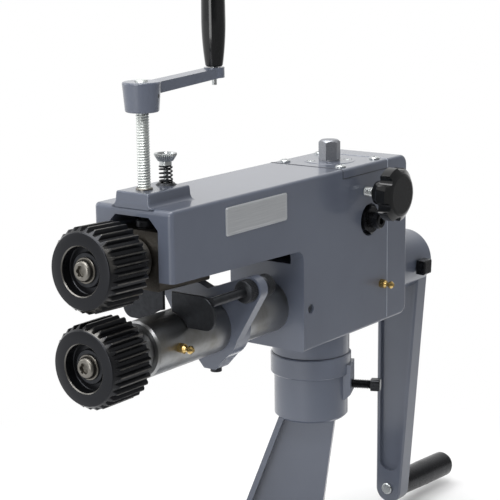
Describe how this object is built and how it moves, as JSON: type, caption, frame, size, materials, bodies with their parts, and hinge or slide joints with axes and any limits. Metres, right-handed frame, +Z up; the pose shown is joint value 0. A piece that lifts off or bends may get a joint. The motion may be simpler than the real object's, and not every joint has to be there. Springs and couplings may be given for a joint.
{
  "type": "sheet metal crimper",
  "caption": "Hand cranked rotary sheet metal crimper with fluted rolls, a screw-set swinging arm, a sliding gauge and a swivel bench stand.",
  "frame": {"origin": "centre of the stand foot's underside, at the centre of its bolt circle", "axes": "+Z up; +Y along the shafts from the rolls to the crank; +X to the side with the lock knob"},
  "size_m": [0.226, 0.543, 0.5384],
  "materials": {
    "grey_paint": "smooth gloss grey enamel on cast iron",
    "black_oxide_rolls": "black oxide, worn bright on the flute crests",
    "black_steel": "oiled black steel",
    "bright_steel": "fine turned bright steel",
    "bare_steel": "milled, slightly stained bare steel",
    "zinc_plate": "bright zinc plating",
    "brass": "turned brass",
    "bronze": "oiled bearing bronze",
    "black_plastic": "moulded black plastic with a soft gloss"
  },
  "bodies": {
    "stand": {"stand_casting": "grey_paint"},
    "stand_clamp": {"stand_clamp_screw": "black_steel"},
    "machine": {"frame_casting": "grey_paint", "top_cover": "grey_paint", "top_cover_screws": "zinc_plate", "rear_cover": "grey_paint", "rear_cover_screws": "black_steel", "lower_tube": "bright_steel", "tube_set_screw": "zinc_plate", "tube_bush": "bronze", "frame_bush": "bronze", "grease_nipples": "brass", "pivot_screws": "black_steel", "pivot_lock_nuts": "black_steel", "screw_bush": "bronze", "lift_washer": "black_steel", "lift_spring": "black_steel", "adjuster_flange": "bright_steel", "adjuster_flange_screws": "zinc_plate"},
    "adjuster": {"adjuster_spindle": "bare_steel"},
    "lock": {"lock_stud": "zinc_plate", "lock_knob": "black_plastic"},
    "arm": {"upper_arm": "bare_steel", "arm_front_bush": "bronze", "arm_rear_bush": "bronze", "wear_button": "bright_steel", "lift_screw": "bare_steel"},
    "thrust": {"thrust_ring": "bronze"},
    "upper_shaft_set": {"upper_shaft": "bright_steel", "upper_shaft_keys": "bright_steel", "upper_thrust_collar": "bright_steel", "upper_roll": "black_oxide_rolls", "upper_roll_washer": "black_steel", "upper_roll_screw": "bright_steel", "upper_gear": "bright_steel", "upper_gear_circlip": "bright_steel"},
    "lower_shaft_set": {"lower_shaft": "bright_steel", "lower_shaft_keys": "bright_steel", "lower_thrust_collar": "bright_steel", "lower_roll": "black_oxide_rolls", "lower_roll_washer": "black_steel", "lower_roll_screw": "bright_steel", "lower_gear": "bright_steel", "lower_gear_circlip": "bright_steel", "crank_arm": "grey_paint", "crank_set_screw": "black_steel", "handle_bolt": "zinc_plate"},
    "crank_handle": {"handle_sleeve": "black_plastic"},
    "pad": {"pressure_pad": "bright_steel"},
    "screw": {"pressure_screw": "zinc_plate", "adjusting_crank": "grey_paint", "adjusting_crank_pin": "black_steel", "grip_bolt": "zinc_plate"},
    "grip": {"adjusting_grip": "black_plastic"},
    "gauge": {"gauge_collar": "grey_paint"},
    "gauge_lock": {"gauge_screw": "black_steel"},
    "near_rod": {"near_gauge_rod": "black_steel"},
    "near_nuts": {"near_gauge_nuts": "black_steel"},
    "far_rod": {"far_gauge_rod": "black_steel"},
    "far_nuts": {"far_gauge_nuts": "black_steel"}
  },
  "joints": [
    {"name": "machine_swivel", "type": "hinge", "parent": "stand", "child": "machine", "pos_m": [0.03654, 0.01627, 0.202], "axis": [0, 0, 1], "continuous": true},
    {"name": "stand_clamp_turn", "type": "hinge", "parent": "stand", "child": "stand_clamp", "pos_m": [0.07308, 0.03254, 0.173], "axis": [0.9135, 0.4067, 0], "range_deg": [0, 1080]},
    {"name": "crank_turn", "type": "hinge", "parent": "machine", "child": "lower_shaft_set", "pos_m": [0.03654, -0.21373, 0.255], "axis": [0, 1, 0], "continuous": true},
    {"name": "handle_turn", "type": "hinge", "parent": "lower_shaft_set", "child": "crank_handle", "pos_m": [0.0265, 0.17727, 0.02502], "axis": [-0.0028, 0.9979, -0.0645], "continuous": true},
    {"name": "arm_swing", "type": "hinge", "parent": "machine", "child": "arm", "pos_m": [0.03654, 0.05177, 0.315], "axis": [-1, 0, 0], "range_deg": [-1.76, 0.8], "deforming": ["lift_spring"]},
    {"name": "thrust_shift", "type": "slide", "parent": "arm", "child": "thrust", "axis": [0, 0.9994, -0.0358], "range_m": [-0.00104, 0.00104]},
    {"name": "upper_shaft_turn", "type": "hinge", "parent": "thrust", "child": "upper_shaft_set", "pos_m": [0.03654, 0.05177, 0.315], "axis": [0, 0.9994, -0.0358], "continuous": true},
    {"name": "adjuster_turn", "type": "hinge", "parent": "machine", "child": "adjuster", "pos_m": [0.03654, 0.04587, 0.3639], "axis": [0, 0, 1], "range_deg": [-40, 40]},
    {"name": "lock_knob_turn", "type": "hinge", "parent": "machine", "child": "lock", "pos_m": [0.09674, 0.04587, 0.3405], "axis": [1, 0, 0], "range_deg": [0, 720]},
    {"name": "screw_feed", "type": "slide", "parent": "machine", "child": "pad", "axis": [0, 0, 1], "range_m": [-0.008, 0.004]},
    {"name": "screw_turn", "type": "hinge", "parent": "pad", "child": "screw", "pos_m": [0.03654, -0.19873, 0.3747], "axis": [0, 0, 1], "range_deg": [-1390, 640]},
    {"name": "grip_turn", "type": "hinge", "parent": "screw", "child": "grip", "pos_m": [0.03654, -0.11293, 0.4542], "axis": [0, 0, 1], "continuous": true},
    {"name": "gauge_slide", "type": "slide", "parent": "machine", "child": "gauge", "axis": [0, 1, 0], "range_m": [-0.03, 0.015]},
    {"name": "gauge_lock_turn", "type": "hinge", "parent": "gauge", "child": "gauge_lock", "pos_m": [0.03654, -0.11723, 0.2195], "axis": [0, 0, -1], "range_deg": [0, 720]},
    {"name": "near_nuts_turn", "type": "hinge", "parent": "gauge", "child": "near_nuts", "pos_m": [0.07774, -0.12573, 0.2893], "axis": [0, 1, 0], "range_deg": [-3460, 3460]},
    {"name": "near_rod_slide", "type": "slide", "parent": "gauge", "child": "near_rod", "axis": [0, 1, 0], "range_m": [-0.012, 0.012]},
    {"name": "far_nuts_turn", "type": "hinge", "parent": "gauge", "child": "far_nuts", "pos_m": [-0.00466, -0.12573, 0.2893], "axis": [0, 1, 0], "range_deg": [-3460, 3460]},
    {"name": "far_rod_slide", "type": "slide", "parent": "gauge", "child": "far_rod", "axis": [0, 1, 0], "range_m": [-0.012, 0.012]}
  ],
  "couplings": [
    {"joint": "upper_shaft_turn", "follows": "crank_turn", "ratio": -1},
    {"joint": "screw_turn", "follows": "arm_swing", "ratio": 786.97},
    {"joint": "screw_feed", "follows": "arm_swing", "m_per_rad": 0.2505},
    {"joint": "adjuster_turn", "follows": "thrust_shift", "rad_per_m": 666.67},
    {"joint": "near_nuts_turn", "follows": "near_rod_slide", "rad_per_m": 5026.5},
    {"joint": "far_nuts_turn", "follows": "far_rod_slide", "rad_per_m": 5026.5}
  ]
}
